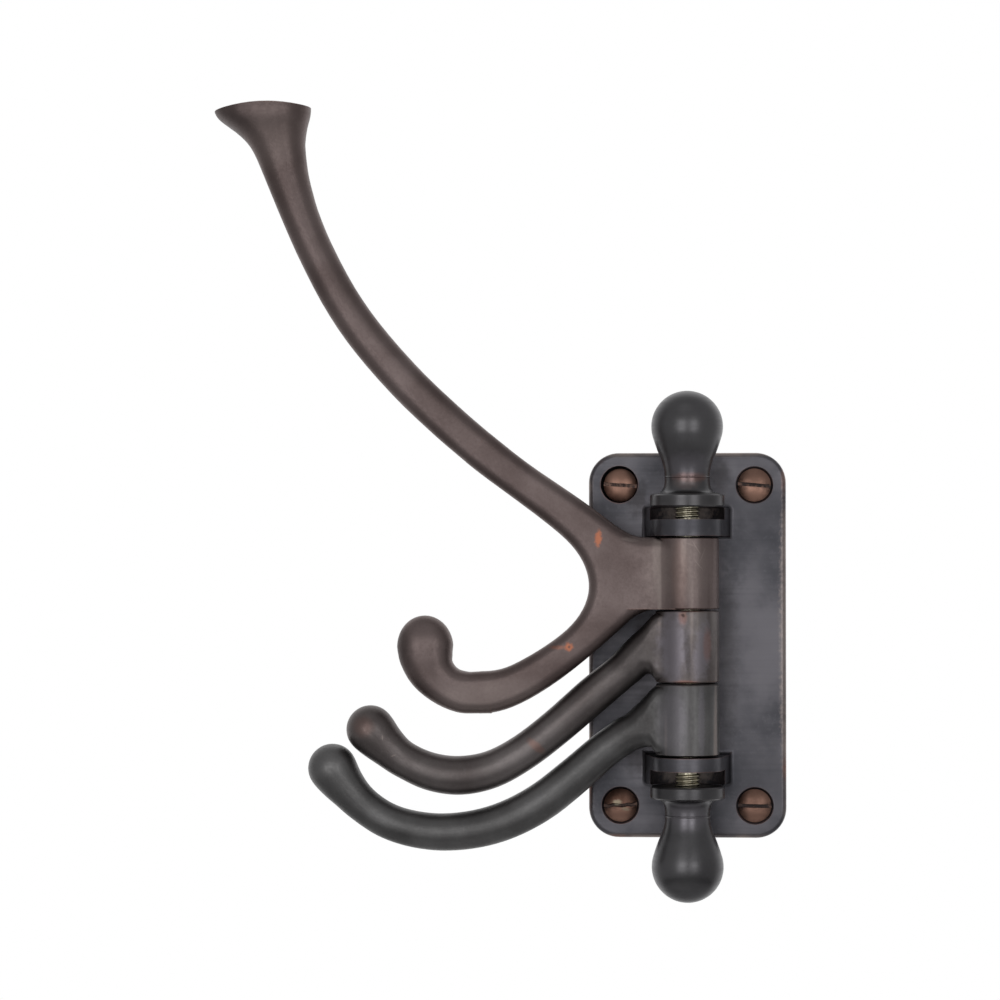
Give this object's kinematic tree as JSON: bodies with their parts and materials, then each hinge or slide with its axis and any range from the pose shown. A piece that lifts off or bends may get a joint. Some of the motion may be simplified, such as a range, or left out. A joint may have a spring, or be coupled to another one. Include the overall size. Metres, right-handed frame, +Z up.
{
  "type": "swivel coat hook",
  "caption": "Wall plate with lugs and a vertical pin between turned finials, on which a hat and coat hook and two nested coat hooks swing.",
  "frame": {"origin": "centre of the backplate's rear face, on the wall", "axes": "+Z up along the pin, +Y into the wall, +X to the right as seen from the room"},
  "size_m": [0.1472, 0.0471, 0.2055],
  "materials": {
    "dark_bronze": "satin oil-rubbed bronze, dark grey-black, worn to copper at the edges",
    "brown_bronze": "satin oil-rubbed bronze, warm brown",
    "screw_bronze": "copper-brown plated screws",
    "raw_brass": "bare turned brass"
  },
  "bodies": {
    "bracket": {"backplate": "dark_bronze", "pivot_pin": "raw_brass", "top_finial": "dark_bronze", "bottom_finial": "dark_bronze", "plate_screws": "screw_bronze"},
    "top_hook": {"top_hook": "brown_bronze"},
    "middle_hook": {"middle_hook": "dark_bronze"},
    "bottom_hook": {"bottom_hook": "dark_bronze"}
  },
  "joints": [
    {"name": "top_swing", "type": "hinge", "parent": "bracket", "child": "top_hook", "pos_m": [0, -0.0155, 0.01865], "axis": [0, 0, 1], "range_deg": [-3, 183]},
    {"name": "middle_swing", "type": "hinge", "parent": "bracket", "child": "middle_hook", "pos_m": [0, -0.0155, 0], "axis": [0, 0, 1], "range_deg": [-6, 186]},
    {"name": "bottom_swing", "type": "hinge", "parent": "bracket", "child": "bottom_hook", "pos_m": [0, -0.0155, -0.01865], "axis": [0, 0, 1], "range_deg": [-5, 185]}
  ]
}
